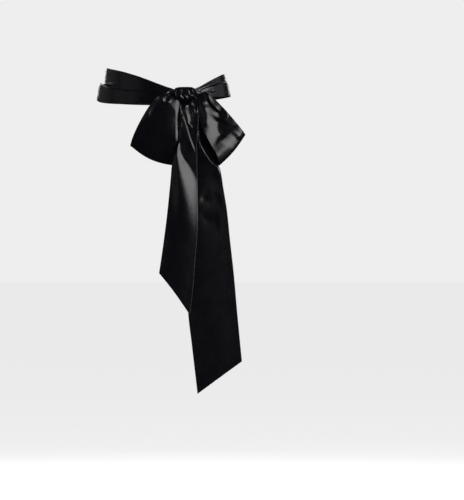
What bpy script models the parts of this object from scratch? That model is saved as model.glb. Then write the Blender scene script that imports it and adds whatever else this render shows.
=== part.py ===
"""A black satin sash as it is worn: once round the waist and tied in front in a bow.

The sash is one long strip of doubled satin. Each stretch of it that shows is an object of its own: the
waist band, the wrap of the knot, the two loops and the two tails. The layers that the wrap hides are one
rounded core, and every other stretch ends against it.

Sizes are in millimetres. +X is to the right as seen from the front, +Y points to the back and +Z up.
The origin is the middle of the waist, level with the middle of the band at the sides.
"""

import math
from collections import namedtuple

import bpy
import numpy as np

MM = 0.001

# The cloth
WALL = 1.2
CLEARANCE = 0.3

# The waist that the band goes round: half sizes level with the origin, and how much each grows per mm down
WAIST_HALF_WIDTH = 133.0
WAIST_HALF_DEPTH = 97.0
WAIST_FLARE = 0.2

# The knot: its middle, the half sizes of the wrap, and the block of hidden layers inside it. A squareness
# of 2 makes an outline an oval, and more makes its corners tighter.
KNOT_X, KNOT_Y, KNOT_Z = 48.0, -112.0, -25.0
WRAP_HALF_DEPTH = 15.5
WRAP_HALF_HEIGHT = 15.8
WRAP_SQUARENESS = 3.0
CORE_HALF_LENGTH = 14.0
CORE_INSET = 2.8
CORE_SQUARENESS = 4.0
CORE_STEP = 15

# The wrap's round: in degrees up from the front, where it ends behind, and where it starts in front, at its
# two ends and at the pinch between them. The pinch's place is a share of the reach to the right, and it
# fades to either side by its narrowness times the distance to that power.
WRAP_BACK_END = 134.0
WRAP_FRONT_START = -22.0
WRAP_PINCH_START = -68.0
WRAP_PINCH_AT = 0.1
WRAP_PINCH_NARROWNESS = 0.75
WRAP_PINCH_POWER = 1.5

# How far the wrap reaches to the left and to the right of the knot's middle, by degrees up from the front
WrapReach = namedtuple("WrapReach", "angle left right")
WRAP_REACH = [
    WrapReach(-68, 23, 16),
    WrapReach(-22, 24, 18.5),
    WrapReach(5, 24.5, 23),
    WrapReach(30, 24.5, 21),
    WrapReach(60, 24.2, 17.5),
    WrapReach(90, 23, 16.5),
    WrapReach(134, 21, 16.5),
]

# How the wrap swells forward and drops from its middle to its ends, and the soft ridges round its front
WRAP_END_FLARE = 0.8
WRAP_END_DROP = 2.8
WRAP_DROP_POWER = 4
WRAP_RIDGE_DEPTH = 1.1
WRAP_RIDGE_WAVES = 1.9

# Where the other stretches end against the core
LEFT_ROOT_X = KNOT_X - CORE_HALF_LENGTH - 2 * CLEARANCE
RIGHT_ROOT_X = KNOT_X + CORE_HALF_LENGTH + 2 * CLEARANCE
TAIL_ROOT_Z = KNOT_Z - WRAP_HALF_HEIGHT + CORE_INSET - 2 * CLEARANCE

# The gathers below and beside the knot: waves across the strip, where they start, their depth, and the drop
# that fades them
LOOP_GATHER_WAVES = 2.6
LOOP_GATHER_START = 0.6
TAIL_GATHER_WAVES = 3.2
TAIL_GATHER_DEPTH = 0.5
TAIL_GATHER_FADE = 45.0

# A loop's two layers lie apart up to this share of its length, and from there turn into each other
LOOP_FOLD_FROM = 0.965
# How much wider the gap between them is along the loop's middle, the share of its width from which the front
# layer's inner edge curls back, how round that curl is, and how late along the loop its end starts to bow
LOOP_CROWN = 0.33
CURL_FROM = 0.88
CURL_POWER = 1.6
FOLD_BOW_POWER = 6

SATIN = (0.012, 0.012, 0.014)
SATIN_ROUGHNESS = 0.36

# One row for each place round the waist. turn is in degrees from the front towards the left side. top and
# bottom are the heights of the band's edges, and lip that of the long fold where the lower half laps over
# the upper half. tuck is how far the cloth goes down behind the lip, and stand how far the band stands off
# the waist near the knot.
BandRow = namedtuple("BandRow", "turn top bottom lip tuck stand")
BAND_ROWS = [
    BandRow(-14.5, -21, -35, -28, 2.5, 1.5),
    BandRow(-11.8, -18.5, -36, -27.5, 3, 1.5),
    BandRow(-9, -13, -37, -26.5, 3.5, 1.5),
    BandRow(-3, -8, -39, -25, 5, 1),
    BandRow(5, -1, -41, -22, 6, 0.5),
    BandRow(18.6, 11, -43, -17, 8, 0),
    BandRow(41, 25.5, -43.5, -12.5, 9, 0),
    BandRow(65, 34, -39, -3, 9, 0),
    BandRow(90, 38.5, -31, 6, 9, 0),
    BandRow(112, 33, -32, 4, 8, 0),
    BandRow(135, 22, -35, -3, 7, 0),
    BandRow(157, 10, -36, -9, 7, 0),
    BandRow(172, 4, -36, -13, 7, 0),
    BandRow(186, -1, -36, -15, 7, 0),
    BandRow(203, -4, -34, -16, 7, 0),
    BandRow(214, -2, -31, -13, 6, 0),
    BandRow(228, 7, -27, -8, 6, 0),
    BandRow(248, 19, -24, 0, 6, 0),
    BandRow(270, 25.5, -23.5, 7, 6, 0),
    BandRow(298.5, 18.5, -26.5, 3, 6, 0),
    BandRow(319, 2.5, -29, -7, 5, 0),
    BandRow(324.6, -5.6, -31, -13.5, 4.5, 0.5),
    BandRow(328.3, -9, -33, -17.5, 4, 1.5),
    BandRow(332.4, -13, -35, -20.5, 3, 1.5),
]

# The band's cross-section from its top edge to its bottom edge. out is the distance from the waist. Heights
# are shares: of the upper panel down to the lip, of the tuck behind it, or of the lower panel, which starts
# where the cloth has rolled over the lip and come down again by LIP_ROLL of the tuck.
LIP_ROLL = 0.2
SectionRow = namedtuple("SectionRow", "panel share out")
BAND_SECTION = [
    SectionRow("upper", 0.0, 0.0),
    SectionRow("upper", 0.12, 0.9),
    SectionRow("upper", 0.35, 1.6),
    SectionRow("upper", 0.62, 1.0),
    SectionRow("upper", 0.85, 1.3),
    SectionRow("tuck", 0.15, 0.6),
    SectionRow("tuck", 0.8, 0.0),
    SectionRow("tuck", 1.0, 1.0),
    SectionRow("tuck", 0.8, 2.1),
    SectionRow("tuck", 0.2, 2.4),
    SectionRow("tuck", 0.0, 3.5),
    SectionRow("tuck", 0.2, 4.6),
    SectionRow("lower", 0.25, 4.2),
    SectionRow("lower", 0.5, 2.4),
    SectionRow("lower", 0.78, 2.8),
    SectionRow("lower", 1.0, 1.4),
]

# One row for each station of a loop. share runs from the knot, 0, to the fold at the loop's outer end, 1.
# Each row has the middle of the loop at its outer edge and at its inner edge, beside the tails, then half
# the gap between the two layers at the outer and at the inner edge, the depth of the gathers, how far the
# back layer slips past the front, how far the front layer's inner edge curls back, and how far that layer
# sags back between its edges.
LoopRow = namedtuple(
    "LoopRow", "share outer_x outer_y outer_z inner_x inner_y inner_z gap_outer gap_inner gather slip curl sag"
)
LEFT_LOOP_ROWS = [
    LoopRow(0.00, LEFT_ROOT_X, -113.5, -15, LEFT_ROOT_X, -113.5, -36, 3.4, 3.4, 1.2, 0, 0, 0),
    LoopRow(0.08, 23, -115, -15, 31.5, -115, -40, 3.5, 3.5, 1.4, 0, 1.5, 0),
    LoopRow(0.20, 8, -118, -17.5, 30.8, -117.5, -54, 4.5, 4.5, 0.8, 0, 4, 0),
    LoopRow(0.35, -11, -120, -28, 31.5, -120, -76, 5.6, 5.6, 0.4, -1, 4, 0),
    LoopRow(0.50, -27, -119.5, -46, 32.5, -123, -99, 6.8, 6.8, 0.2, -2, 3.5, 0),
    LoopRow(0.65, -42.5, -119, -70, 31.5, -127.5, -123, 7.1, 7.1, 0, -2, 2.5, 0),
    LoopRow(0.80, -55.5, -119, -94, 29.5, -131.5, -146, 6.0, 6.0, 0, -2, 1, 0),
    LoopRow(0.92, -65, -120.5, -116, 26, -134.5, -163, 4.5, 4.5, 0, -1, 0, 0),
    LoopRow(1.00, -70, -121.5, -132, 23.5, -136, -175, 2.6, 2.6, 0, 0, 0, 0),
]
RIGHT_LOOP_ROWS = [
    LoopRow(0.00, RIGHT_ROOT_X, -112.5, -14, RIGHT_ROOT_X, -112.5, -37, 3.8, 3.8, 1.4, 0, 0, 0),
    LoopRow(0.08, 73, -112.5, -17, 71, -114, -44, 4.1, 4.6, 1.3, 0, 0.5, 0),
    LoopRow(0.20, 88, -113, -18, 73, -119, -60, 5.0, 7.0, 0.8, 2, 1.5, 1),
    LoopRow(0.35, 103, -115, -30, 77, -124, -80, 6.5, 10.5, 0.4, 9, 2, 4),
    LoopRow(0.50, 118, -118, -45, 83, -129, -99, 8.0, 13.0, 0.2, 18, 1, 6),
    LoopRow(0.65, 134, -119.5, -62, 92.5, -135, -119, 8.5, 13.0, 0, 25, 0, 7),
    LoopRow(0.80, 151, -120, -82, 104, -141, -140, 7.0, 9.5, 0, 27, 0, 5),
    LoopRow(0.92, 164, -119, -98, 113.5, -145, -158, 4.5, 8.5, 0, 20, 0, 2),
    LoopRow(1.00, 172, -118, -109, 117.5, -147.5, -175, 2.6, 2.6, 0, 0, 0, 0),
]
LEFT_FOLD_BOW = 9.0
RIGHT_FOLD_BOW = 4.0

# One row for each height of a tail: its left and right edges in x and y, how far the soft lengthwise crest
# stands forward, and the shares of the width where it does and where its right flank has come down again.
TailRow = namedtuple("TailRow", "z left_x left_y right_x right_y crest crest_at flank_end")
FRONT_TAIL_ROWS = [
    TailRow(TAIL_ROOT_Z, 36, -115.5, 66, -115.5, 0, 0.08, 0.30),
    TailRow(-58, 31.5, -127.5, 71, -121, 0.5, 0.05, 0.25),
    TailRow(-89, 31.5, -134, 70.5, -130, 1, 0.04, 0.14),
    TailRow(-121, 30.5, -141, 70.5, -138, 1.5, 0.03, 0.12),
    TailRow(-134, 28.5, -144, 70.5, -141, 2.2, 0.04, 0.16),
    TailRow(-147, 25.5, -147, 71, -145, 3.5, 0.07, 0.28),
    TailRow(-160, 22, -150, 71, -148, 5.5, 0.14, 0.46),
    TailRow(-174, 18.5, -153, 71, -151, 8, 0.22, 0.70),
    TailRow(-202, 16, -159, 71.5, -156, 11.5, 0.32, 1.02),
    TailRow(-240, 12.5, -168, 72.5, -167, 10, 0.45, 1.12),
    TailRow(-285, 8, -178, 73, -178, 5.5, 0.58, 1.2),
    TailRow(-330, 2.5, -189, 71, -190, 2.5, 0.62, 1.2),
    TailRow(-375, -3.5, -201, 67.5, -202, 2, 0.60, 1.2),
    TailRow(-425, -11, -214, 64, -215, 2, 0.60, 1.2),
    TailRow(-486, -21, -229, 57, -229, 2, 0.60, 1.2),
]
BACK_TAIL_ROWS = [
    TailRow(TAIL_ROOT_Z, 32, -105, 67.5, -105, 0, 0.4, 1),
    TailRow(-46, 30.5, -106.5, 69.2, -107.5, 0, 0.4, 1),
    TailRow(-52, 31, -109, 69.5, -111, 0, 0.4, 1),
    TailRow(-58, 33, -112, 70.5, -115, 0, 0.4, 1),
    TailRow(-66, 33.5, -114, 73, -118, 0, 0.4, 1),
    TailRow(-75, 33.5, -115.5, 74.5, -119.5, 0, 0.4, 1),
    TailRow(-95, 35, -118, 75.5, -123.5, 1, 0.5, 1),
    TailRow(-116, 42, -123, 78, -128.5, 1.5, 0.6, 1),
    TailRow(-131, 46, -128, 82, -133.5, 2, 0.6, 1),
    TailRow(-146, 50, -132.5, 87.5, -138.5, 2, 0.6, 1),
    TailRow(-157, 50.5, -135.5, 94, -142, 2, 0.6, 1),
    TailRow(-166, 51, -139, 98.5, -144.5, 2, 0.6, 1),
    TailRow(-173, 51, -141, 101, -146, 2, 0.6, 1),
    TailRow(-177, 51, -142, 105, -146.5, 2, 0.6, 1),
    TailRow(-179.5, 51, -142.5, 113.5, -146.5, 2, 0.6, 1),
    TailRow(-183, 51, -143.5, 118, -146.5, 2, 0.6, 1),
    TailRow(-190, 51, -145, 121, -147.5, 2, 0.5, 1),
    TailRow(-198, 51, -147, 122.5, -148.5, 2, 0.5, 1),
    TailRow(-214, 51.5, -151, 124.7, -151, 2, 0.5, 1),
    TailRow(-265, 52, -165, 133, -164.5, 1.5, 0.4, 1),
    TailRow(-331, 52.5, -183, 140, -183, 1, 0.4, 1),
    TailRow(-398, 53, -202, 147.5, -203, 1, 0.4, 1),
    TailRow(-482, 53.5, -226, 155, -227, 1, 0.4, 1),
    TailRow(-545, 61, -243, 161, -244, 1, 0.4, 1),
    TailRow(-648, 73.5, -269, 171, -269, 1, 0.4, 1),
]
# The slanting cuts across the tails' ends: the height of each corner, and how far the cut bows upwards
EndCut = namedtuple("EndCut", "left_z right_z bow")
FRONT_TAIL_CUT = EndCut(-400, -486, 3.5)
BACK_TAIL_CUT = EndCut(-647, -581, 0)

# A crease pressed into a front layer: the points of its line from above, its depth and its half width. A
# depth below 0 makes it a ridge.
Crease = namedtuple("Crease", "line depth half_width")
LEFT_LOOP_CREASES = [
    Crease([(24, -22), (12, -26), (5, -33), (3, -42)], 5.0, 5.0),
    Crease([(14, -42), (21, -50), (25, -64), (26, -84)], -1.8, 6.0),
]
RIGHT_LOOP_CREASES = [
    Crease([(84, -24), (91, -28), (100, -38), (110, -52), (122, -64)], 7.0, 5.5),
    Crease([(108, -82), (117, -102), (131, -117)], 3.0, 12.0),
]
FRONT_TAIL_CREASES = [
    Crease([(34, -47), (37, -59), (46, -85), (56, -121), (66, -150)], -2.4, 4.0),
    Crease([(46, -48), (50, -62), (54, -80)], -3.2, 4.0),
]
BACK_TAIL_CREASES = [
    Crease([(75, -116), (79, -131), (84, -145), (90, -156), (98, -166)], -3.6, 4.5),
    Crease([(80, -228), (100, -238), (126, -228)], 2.0, 12.0),
    Crease([(76, -272), (96, -292), (120, -292)], 2.0, 14.0),
]


def clear_scene():
    """Removes whatever the file starts with."""
    for scene_object in list(bpy.data.objects):
        bpy.data.objects.remove(scene_object)


def smooth(rows, key, name, x):
    """The value at x of a smooth curve through one column of a table, whose key column runs one way."""
    ordered = sorted(rows, key=lambda row: getattr(row, key))
    at = np.array([getattr(row, key) for row in ordered], float)
    value = np.array([getattr(row, name) for row in ordered], float)
    slope = np.gradient(value, at)
    x = np.clip(x, at[0], at[-1])
    i = np.clip(np.searchsorted(at, x) - 1, 0, len(at) - 2)
    step = at[i + 1] - at[i]
    t = (x - at[i]) / step
    start = (2 * t**3 - 3 * t**2 + 1) * value[i] + (t**3 - 2 * t**2 + t) * step * slope[i]
    end = (3 * t**2 - 2 * t**3) * value[i + 1] + (t**3 - t**2) * step * slope[i + 1]
    return start + end


def crease_depth(x, z, creases):
    """How far the creases press the point (x, z) of a front layer back."""
    total = np.zeros(np.shape(x))
    for crease in creases:
        line = np.array(crease.line, float)
        nearest = np.full(np.shape(x), np.inf)
        for start, end in zip(line[:-1], line[1:]):
            run = end - start
            share = ((x - start[0]) * run[0] + (z - start[1]) * run[1]) / (run @ run)
            share = np.clip(share, 0, 1)
            gap = np.hypot(x - start[0] - share * run[0], z - start[1] - share * run[1])
            nearest = np.minimum(nearest, gap)
        total += crease.depth * np.exp(-((nearest / crease.half_width) ** 2))
    return total


def band_points(stations):
    """The waist band: its section carried round the oval of the waist, from the knot round to the knot."""
    turn = np.linspace(BAND_ROWS[0].turn, BAND_ROWS[-1].turn, stations)
    top, bottom, lip, tuck, stand = (smooth(BAND_ROWS, "turn", name, turn) for name in BandRow._fields[1:])
    angle = np.radians(turn)
    oval = np.stack([-WAIST_HALF_WIDTH * np.sin(angle), -WAIST_HALF_DEPTH * np.cos(angle)], axis=1)
    outward = oval / np.array([WAIST_HALF_WIDTH, WAIST_HALF_DEPTH]) ** 2
    outward /= np.linalg.norm(outward, axis=1, keepdims=True)
    panels = {
        "upper": (top, lip),
        "tuck": (lip, lip - tuck),
        "lower": (lip - LIP_ROLL * tuck, bottom),
    }
    points = np.zeros((stations, len(BAND_SECTION), 3))
    for j, row in enumerate(BAND_SECTION):
        start, end = panels[row.panel]
        z = start + (end - start) * row.share
        distance = row.out + stand - WAIST_FLARE * z
        points[:, j, :2] = oval + outward * distance[:, None]
        points[:, j, 2] = z
    points[0, :, 0] = LEFT_ROOT_X
    points[-1, :, 0] = RIGHT_ROOT_X
    return points


def loop_stations(stations):
    """Shares of a loop's length from the knot to its fold and back, and the side: -1 in front, 1 behind."""
    turn = np.linspace(0, math.pi / 2, 4)[1:]
    out = np.linspace(0, LOOP_FOLD_FROM, stations)
    out = np.concatenate([out, LOOP_FOLD_FROM + (1 - LOOP_FOLD_FROM) * np.sin(turn)])
    apart = np.concatenate([np.ones(stations), np.cos(turn)])
    return np.concatenate([out, out[-2::-1]]), np.concatenate([-apart, apart[-2::-1]])


def loop_points(rows, creases, fold_bow, stations, columns):
    """A loop of the bow: its front layer from the knot to the outer fold, and its back layer back again."""
    share, side = loop_stations(stations)
    value = {name: smooth(rows, "share", name, share) for name in LoopRow._fields[1:]}
    outer = np.stack([value["outer_x"], value["outer_y"], value["outer_z"]], axis=1)
    inner = np.stack([value["inner_x"], value["inner_y"], value["inner_z"]], axis=1)
    run = (inner - outer) / np.linalg.norm(inner - outer, axis=1, keepdims=True)
    slip = np.where(side > 0, value["slip"], 0)[:, None] * run
    across = np.linspace(0, 1, columns)
    points = outer[:, None] + (inner - outer + slip)[:, None] * across[:, None]

    # The fold bows outward between its corners.
    fold = len(share) // 2
    away = np.array([run[fold, 2], 0, -run[fold, 0]])
    away *= np.sign(away @ (outer[fold] - outer[0]))
    bow = fold_bow * share[:, None] ** FOLD_BOW_POWER * np.sin(math.pi * across)
    points += bow[..., None] * away

    gap = value["gap_outer"][:, None] * (1 - across) + value["gap_inner"][:, None] * across
    gap = gap * (1 + 4 * LOOP_CROWN * across * (1 - across))
    gathers = value["gather"][:, None] * np.sin(2 * math.pi * LOOP_GATHER_WAVES * across + LOOP_GATHER_START)
    front = np.clip(-side, 0, 1)[:, None]
    curl = value["curl"][:, None] * np.clip((across - CURL_FROM) / (1 - CURL_FROM), 0, 1) ** CURL_POWER
    sag = value["sag"][:, None] * 4 * across * (1 - across)
    pressed = front * (curl + sag + crease_depth(points[..., 0], points[..., 2], creases))
    points[..., 1] += side[:, None] * gap + gathers + pressed
    points[[0, -1], :, 0] = rows[0].outer_x
    return points


def tail_points(rows, cut, creases, stations, columns):
    """A tail: straight across but for a soft crest, gathered at the knot and cut on a slant.

    The stations are shared out evenly between the table's rows, so they lie closer where it changes faster.
    """
    across = np.linspace(0, 1, columns)[None, :]
    heights = np.array([row.z for row in rows], float)
    place = np.linspace(0, len(rows) - 1, stations)
    height = np.interp(place, np.arange(len(rows)), heights)
    down = ((height - heights[0]) / (heights[-1] - heights[0]))[:, None]
    end_z = cut.left_z + (cut.right_z - cut.left_z) * across + cut.bow * np.sin(math.pi * across)
    z = TAIL_ROOT_Z + (end_z - TAIL_ROOT_Z) * down
    value = {name: smooth(rows, "z", name, z) for name in TailRow._fields[1:]}
    x = value["left_x"] + (value["right_x"] - value["left_x"]) * across
    y = value["left_y"] + (value["right_y"] - value["left_y"]) * across
    crest_at, flank_end = value["crest_at"], value["flank_end"]
    nearness = np.clip(np.minimum(across / crest_at, (flank_end - across) / (flank_end - crest_at)), 0, 1)
    y -= value["crest"] * (0.5 - 0.5 * np.cos(math.pi * nearness))
    gather = TAIL_GATHER_DEPTH * np.exp((z - TAIL_ROOT_Z) / TAIL_GATHER_FADE)
    y += gather * np.sin(2 * math.pi * TAIL_GATHER_WAVES * across)
    y += crease_depth(x, z, creases)
    return np.stack([x, y, z], axis=-1)


def knot_section(angle, half_depth, half_height, squareness):
    """A point of the knot's rounded outline: angle 0 is its front and 90 degrees its top."""
    c, s = np.cos(angle), np.sin(angle)
    size = (np.abs(c) ** squareness + np.abs(s) ** squareness) ** (-1 / squareness)
    return KNOT_Y - half_depth * c * size, KNOT_Z + half_height * s * size


def wrap_points(stations, columns):
    """The wrap: up the front of the knot and over the top, pinched to a point below in front."""
    across = np.linspace(-1, 1, columns)[None, :]
    share = np.linspace(0, 1, stations)[:, None]
    away = np.abs(across - WRAP_PINCH_AT)
    pinch = np.clip(1 - WRAP_PINCH_NARROWNESS * away**WRAP_PINCH_POWER, 0, 1)
    start = WRAP_FRONT_START + (WRAP_PINCH_START - WRAP_FRONT_START) * pinch
    angle = np.radians(start + (WRAP_BACK_END - start) * share)
    front = np.clip(np.cos(angle), 0, 1)
    ridges = WRAP_RIDGE_DEPTH * np.cos(2 * math.pi * WRAP_RIDGE_WAVES * across)
    half_depth = WRAP_HALF_DEPTH + (ridges + WRAP_END_FLARE * across**2) * front
    half_height = WRAP_HALF_HEIGHT - WRAP_END_DROP * across**WRAP_DROP_POWER
    y, z = knot_section(angle, half_depth, half_height, WRAP_SQUARENESS)
    left, right = (smooth(WRAP_REACH, "angle", name, np.degrees(angle)) for name in ("left", "right"))
    x = KNOT_X + across * np.where(across < 0, left, right)
    return np.stack([x, y, z], axis=-1)


def sheet_object(name, points, collection):
    """Cloth through a grid of points, one wall thick, as an object of its own."""
    rows, columns = points.shape[:2]
    index = np.arange(rows * columns).reshape(rows, columns)
    corners = [index[:-1, :-1], index[1:, :-1], index[1:, 1:], index[:-1, 1:]]
    faces = np.stack(corners, axis=-1).reshape(-1, 4)
    mesh = bpy.data.meshes.new(name)
    mesh.from_pydata((points.reshape(-1, 3) * MM).tolist(), [], faces.tolist())
    mesh.shade_smooth()
    cloth = bpy.data.objects.new(name, mesh)
    collection.objects.link(cloth)
    wall = cloth.modifiers.new("wall", "SOLIDIFY")
    wall.thickness = WALL * MM
    wall.offset = 0
    wall.use_even_offset = False
    mesh.materials.append(satin(name))
    return cloth


def core_object(collection):
    """The hidden layers inside the wrap: one rounded block with flat ends."""
    outline = bpy.data.curves.new("knot_core", "CURVE")
    outline.dimensions = "2D"
    outline.fill_mode = "BOTH"
    outline.extrude = CORE_HALF_LENGTH * MM
    spline = outline.splines.new("POLY")
    angles = np.radians(np.arange(0, 360, CORE_STEP))
    half_depth, half_height = WRAP_HALF_DEPTH - CORE_INSET, WRAP_HALF_HEIGHT - CORE_INSET
    depths, heights = knot_section(angles, half_depth, half_height, CORE_SQUARENESS)
    spline.points.add(len(angles) - 1)
    for point, y, z in zip(spline.points, depths - KNOT_Y, heights - KNOT_Z):
        point.co = (y * MM, z * MM, 0, 1)
    spline.use_cyclic_u = True
    core = bpy.data.objects.new("knot_core", outline)
    core.location = (KNOT_X * MM, KNOT_Y * MM, KNOT_Z * MM)
    core.rotation_euler = (math.pi / 2, 0, math.pi / 2)
    collection.objects.link(core)
    outline.materials.append(satin("knot_core"))
    return core


def satin(name):
    """Black satin with a soft shine."""
    material = bpy.data.materials.new(name + "_satin")
    material.use_nodes = True
    shader = material.node_tree.nodes["Principled BSDF"]
    shader.inputs["Base Color"].default_value = (*SATIN, 1)
    shader.inputs["Roughness"].default_value = SATIN_ROUGHNESS
    shader.inputs["Metallic"].default_value = 0.0
    return material


def main():
    clear_scene()
    sash = bpy.data.collections.new("satin_sash")
    bpy.context.scene.collection.children.link(sash)
    sheet_object("waist_band", band_points(stations=64), sash)
    left = loop_points(LEFT_LOOP_ROWS, LEFT_LOOP_CREASES, LEFT_FOLD_BOW, stations=13, columns=15)
    sheet_object("loop_left", left, sash)
    right = loop_points(RIGHT_LOOP_ROWS, RIGHT_LOOP_CREASES, RIGHT_FOLD_BOW, stations=13, columns=15)
    sheet_object("loop_right", right, sash)
    front = tail_points(FRONT_TAIL_ROWS, FRONT_TAIL_CUT, FRONT_TAIL_CREASES, stations=40, columns=15)
    sheet_object("tail_front", front, sash)
    back = tail_points(BACK_TAIL_ROWS, BACK_TAIL_CUT, BACK_TAIL_CREASES, stations=49, columns=15)
    sheet_object("tail_back", back, sash)
    sheet_object("knot_wrap", wrap_points(stations=17, columns=17), sash)
    core_object(sash)


main()
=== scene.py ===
"""A black satin sash as it is worn: once round the waist and tied in front in a bow with two long tails.

Every piece is doubled satin, a closed sheet about a millimetre thick whose middle surface is worked out
from a short table. Sizes in the tables are in millimetres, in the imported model's own frame: +X to the
right as seen from the front, +Y to the back and +Z up.
"""

import math
from collections import namedtuple

import bpy
import numpy as np
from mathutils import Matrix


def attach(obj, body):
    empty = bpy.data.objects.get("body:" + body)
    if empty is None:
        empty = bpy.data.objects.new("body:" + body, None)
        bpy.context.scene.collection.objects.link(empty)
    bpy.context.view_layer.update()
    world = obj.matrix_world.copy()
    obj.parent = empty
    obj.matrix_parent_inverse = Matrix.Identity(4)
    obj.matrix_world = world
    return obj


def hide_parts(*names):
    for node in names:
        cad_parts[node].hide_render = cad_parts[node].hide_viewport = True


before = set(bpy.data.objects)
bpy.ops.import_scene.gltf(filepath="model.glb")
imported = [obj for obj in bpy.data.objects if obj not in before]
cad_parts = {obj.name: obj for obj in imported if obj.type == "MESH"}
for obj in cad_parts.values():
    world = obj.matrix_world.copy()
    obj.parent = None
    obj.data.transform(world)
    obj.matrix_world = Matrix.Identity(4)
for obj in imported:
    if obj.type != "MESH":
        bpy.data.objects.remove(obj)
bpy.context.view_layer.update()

MM = 0.001

# The cloth: two layers of satin with a rounded edge, and the seam allowance that lies inside one long edge
# and thins out where it ends
WALL = 0.9
EDGE_ROUND = 0.7
SEAM_THICKNESS = 0.3
SEAM_WIDTH = 8.0
SEAM_FADE = 2.0

# The grid lines beside a rim, as shares of the rounded edge, and the rough sizes of the stretches, along the
# strip and across it, that set how close together those lines are
RIM_LINES = np.array([0, 0.07, 0.25, 0.55, 1.0])
BAND_LENGTH = 740
BAND_ACROSS = 100
LOOP_LENGTH = 150
LOOP_ACROSS = 75
TAIL_LENGTH = 500
TAIL_ACROSS = 60
WRAP_AROUND = 60

# The waist that the band goes round: half sizes level with the origin, and how much each grows per mm down
WAIST_HALF_WIDTH = 133.0
WAIST_HALF_DEPTH = 97.0
WAIST_FLARE = 0.2

# The knot: its middle and the half sizes of the wrap. A squareness of 2 makes an outline an oval.
KNOT_X, KNOT_Y, KNOT_Z = 48.0, -112.0, -25.0
WRAP_LENGTH = 45.0
WRAP_HALF_DEPTH = 15.5
WRAP_HALF_HEIGHT = 15.8
WRAP_SQUARENESS = 3.0

# The block of layers inside the wrap: its half length, how far it lies within the wrap, how squarely its ends
# close, and the soft grooves round it, whose depth is a share of its size and which twist from end to end
CORE_HALF_LENGTH = 14.0
CORE_INSET = 2.8
CORE_SQUARENESS = 4.0
CORE_END_POWER = 14
CORE_GROOVE_DEPTH = 0.02
CORE_GROOVES = 8
CORE_GROOVE_TWIST = 2

# The wrap's round: in degrees up from the front, where it ends behind, and where it starts in front, at its
# two ends and at the pinch between them. The pinch's place is a share of the reach to the right, and it
# fades to either side by its narrowness times the distance to that power.
WRAP_BACK_END = 134.0
WRAP_FRONT_START = -22.0
WRAP_PINCH_START = -68.0
WRAP_PINCH_AT = 0.1
WRAP_PINCH_NARROWNESS = 0.75
WRAP_PINCH_POWER = 1.5

# How far the wrap reaches to the left and to the right of the knot's middle, by degrees up from the front
WrapReach = namedtuple("WrapReach", "angle left right")
WRAP_REACH = [
    WrapReach(-68, 23, 16),
    WrapReach(-22, 24, 18.5),
    WrapReach(5, 24.5, 23),
    WrapReach(30, 24.5, 21),
    WrapReach(60, 24.2, 17.5),
    WrapReach(90, 23, 16.5),
    WrapReach(134, 21, 16.5),
]

# How the wrap swells forward and drops from its middle to its ends, and the soft ridges round its front
WRAP_END_FLARE = 0.8
WRAP_END_DROP = 2.8
WRAP_DROP_POWER = 4
WRAP_RIDGE_DEPTH = 0.4
WRAP_RIDGE_WAVES = 1.9

# Where the other stretches end inside the knot
LEFT_ROOT_X = 33.4
RIGHT_ROOT_X = 62.6
TAIL_ROOT_Z = -38.6

# The gathers beside and below the knot: waves across the strip, their depth, and the drop that fades them
LOOP_GATHER_WAVES = 2.6
LOOP_GATHER_START = 0.6
TAIL_GATHER_WAVES = 2.75
TAIL_GATHER_DEPTH = 0.35
TAIL_GATHER_FADE = 45.0

# A loop's two layers lie apart up to this share of its length, and from there turn into each other over so
# many grid lines. The crown is how much wider the gap between them is in the middle than at the edges.
LOOP_FOLD_FROM = 0.965
LOOP_FOLD_LINES = 12
LOOP_CROWN = 0.33

# The outer fold of a loop bows outward, and the bow grows from the knot by this power of the length. The
# inner edge curls back over this width, by this power of the nearness to the edge.
LEFT_FOLD_BOW = 9.0
RIGHT_FOLD_BOW = 4.0
FOLD_BOW_POWER = 6
CURL_WIDTH = 8.0
CURL_POWER = 1.2

# A fold's line has so many steps for each of its points. The fold fades over this share of its length at
# each end, and its height falls with this power of the distance from its line.
FOLD_STEPS = 12
FOLD_FADE = 0.25
FOLD_POWER = 1.6

# The satin: the pitch and relief of its threads and the size and relief of its crinkles, in metres, then how
# dark and how rough it is. The layers inside the knot are a little darker: painted shade for the inside of the
# knot.
THREAD_PITCH = 0.00045
THREAD_RELIEF = 0.000006
CRINKLE_SIZE = 0.016
CRINKLE_RELIEF = 0.00016
SATIN_SHADE = 0.0016
KNOT_INSIDE_PAINTED_SHADE = 0.0013
SATIN_GLOSS = 0.26
SATIN_IOR = 1.5

# How threads dip along their way, and how the dips of neighbouring threads are set off from each other
THREAD_DIP = 0.5
DIP_ALONG = 0.2
DIP_ACROSS = 0.4

# How unevenly the satin is dyed and how its gloss varies: the share of the thick and thin threads, the least
# shade and its swing, the tint, a painted bluish cast of the light, and the middle and the swing of the gloss
SLUB_SHARE = 0.5
SHADE_LEAST = 0.47
SHADE_SWING = 0.7
PAINTED_GREEN_CAST = 0.93
PAINTED_BLUE_CAST = 2.0
GLOSS_MIDDLE = 0.75
GLOSS_SWING = 0.12

# The camera: its place in metres, its sensor's width in mm, the height in metres that it takes in at the
# middle of the waist, and how far it sees
CAMERA_PLACE = (0.144, -6.0, -0.352)
SENSOR_WIDTH = 36.0
VIEW_HEIGHT = 1.0725
CAMERA_REACH = 60.0

# The floor: half its side and its height in metres, and its pale, dull surface
FLOOR_HALF_SIDE = 60.0
FLOOR_HEIGHT = -1.05
FLOOR_COLOUR = (0.9, 0.9, 0.905, 1)
FLOOR_ROUGHNESS = 0.9

# How bright the surroundings are where the camera sees them, where they light rough surfaces, and anywhere
BACKDROP_SEEN = 0.84
BACKDROP_LIGHT = 0.9
BACKDROP_SHINE = 0.013

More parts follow.
